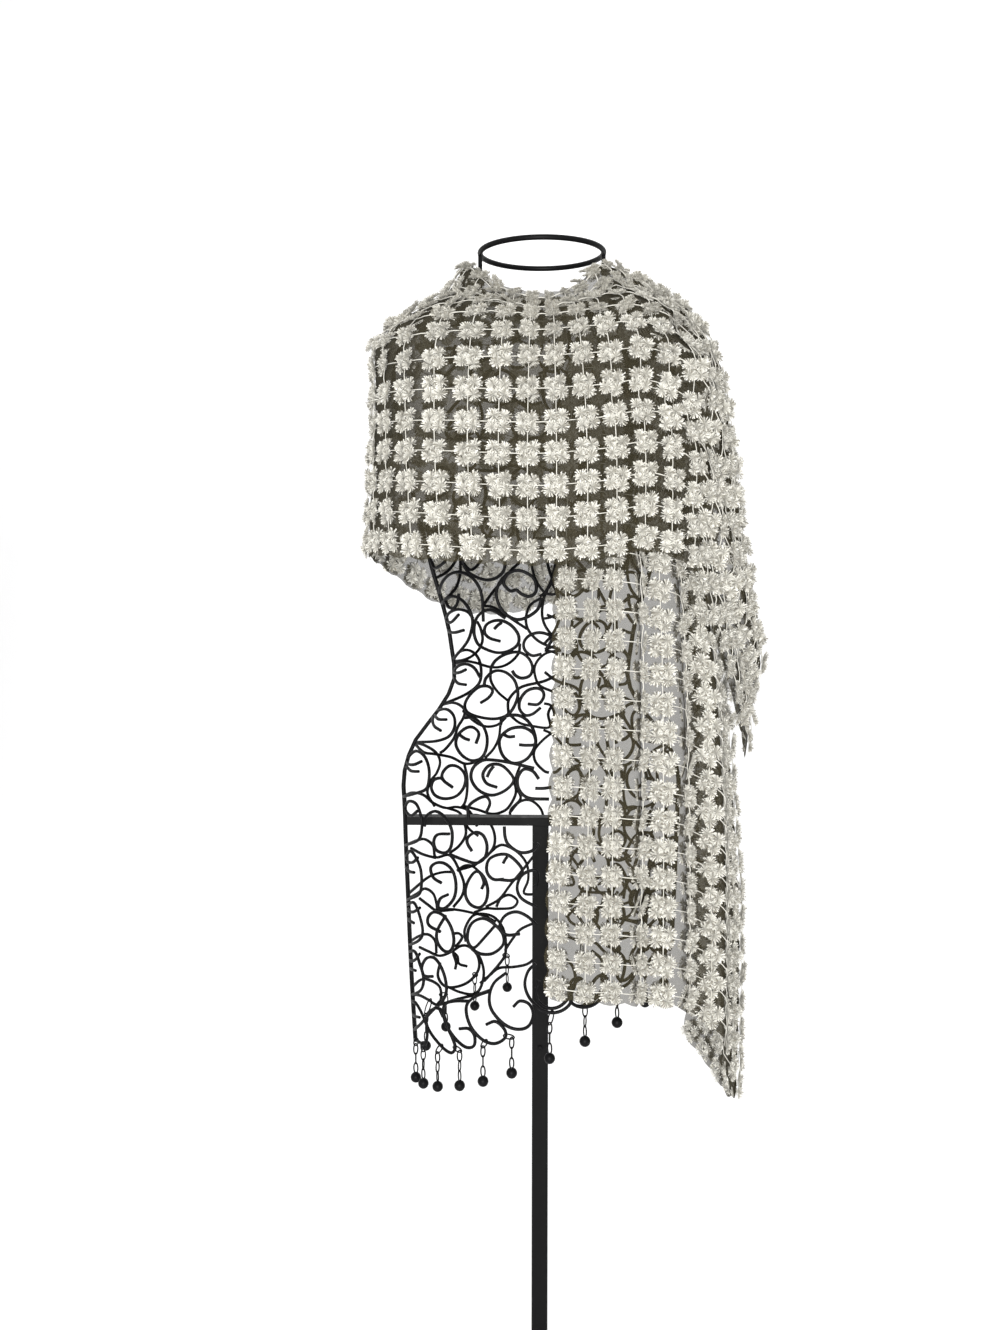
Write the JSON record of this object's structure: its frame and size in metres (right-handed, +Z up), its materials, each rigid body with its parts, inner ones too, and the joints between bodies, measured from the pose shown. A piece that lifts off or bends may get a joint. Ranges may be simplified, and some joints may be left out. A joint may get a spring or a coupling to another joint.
{
  "type": "lace shawl on a limbless wire dress form",
  "caption": "Long lace shawl of fluffy clover motifs, wrapped round the shoulders of an openwork wire dress form on a square post with a round base.",
  "frame": {"origin": "centre of the round base's underside, on the post's axis", "axes": "+Z up the post, -Y towards the front of the form, +X towards the side where both shawl tails hang"},
  "size_m": [0.4827, 0.34, 1.5532],
  "materials": {
    "ivory_lace": "fluffy matt thread on fine net",
    "black_iron": "satin black paint"
  },
  "bodies": {
    "root": {"chain_drop_back_01": "black_iron", "chain_drop_back_02": "black_iron", "chain_drop_back_03": "black_iron", "chain_drop_back_04": "black_iron", "chain_drop_back_05": "black_iron", "chain_drop_back_06": "black_iron", "chain_drop_back_07": "black_iron", "chain_drop_back_08": "black_iron", "chain_drop_back_09": "black_iron", "chain_drop_front_01": "black_iron", "chain_drop_front_02": "black_iron", "chain_drop_front_03": "black_iron", "chain_drop_front_04": "black_iron", "chain_drop_front_05": "black_iron", "chain_drop_front_06": "black_iron", "chain_drop_front_07": "black_iron", "chain_drop_front_08": "black_iron", "chain_drop_front_09": "black_iron", "chain_drop_front_10": "black_iron", "chain_drop_front_11": "black_iron", "form_back_scrollwork": "black_iron", "form_back_side_wire_left": "black_iron", "form_back_side_wire_right": "black_iron", "form_front_scrollwork": "black_iron", "form_front_side_wire_left": "black_iron", "form_front_side_wire_right": "black_iron", "hip_bar": "black_iron", "lock_screw": "black_iron", "neck_ring": "black_iron", "post": "black_iron", "round_base": "black_iron", "shawl_back": "ivory_lace", "shawl_front_tail": "ivory_lace", "shawl_front_wrap": "ivory_lace", "shawl_side_tail": "ivory_lace"}
  },
  "joints": []
}
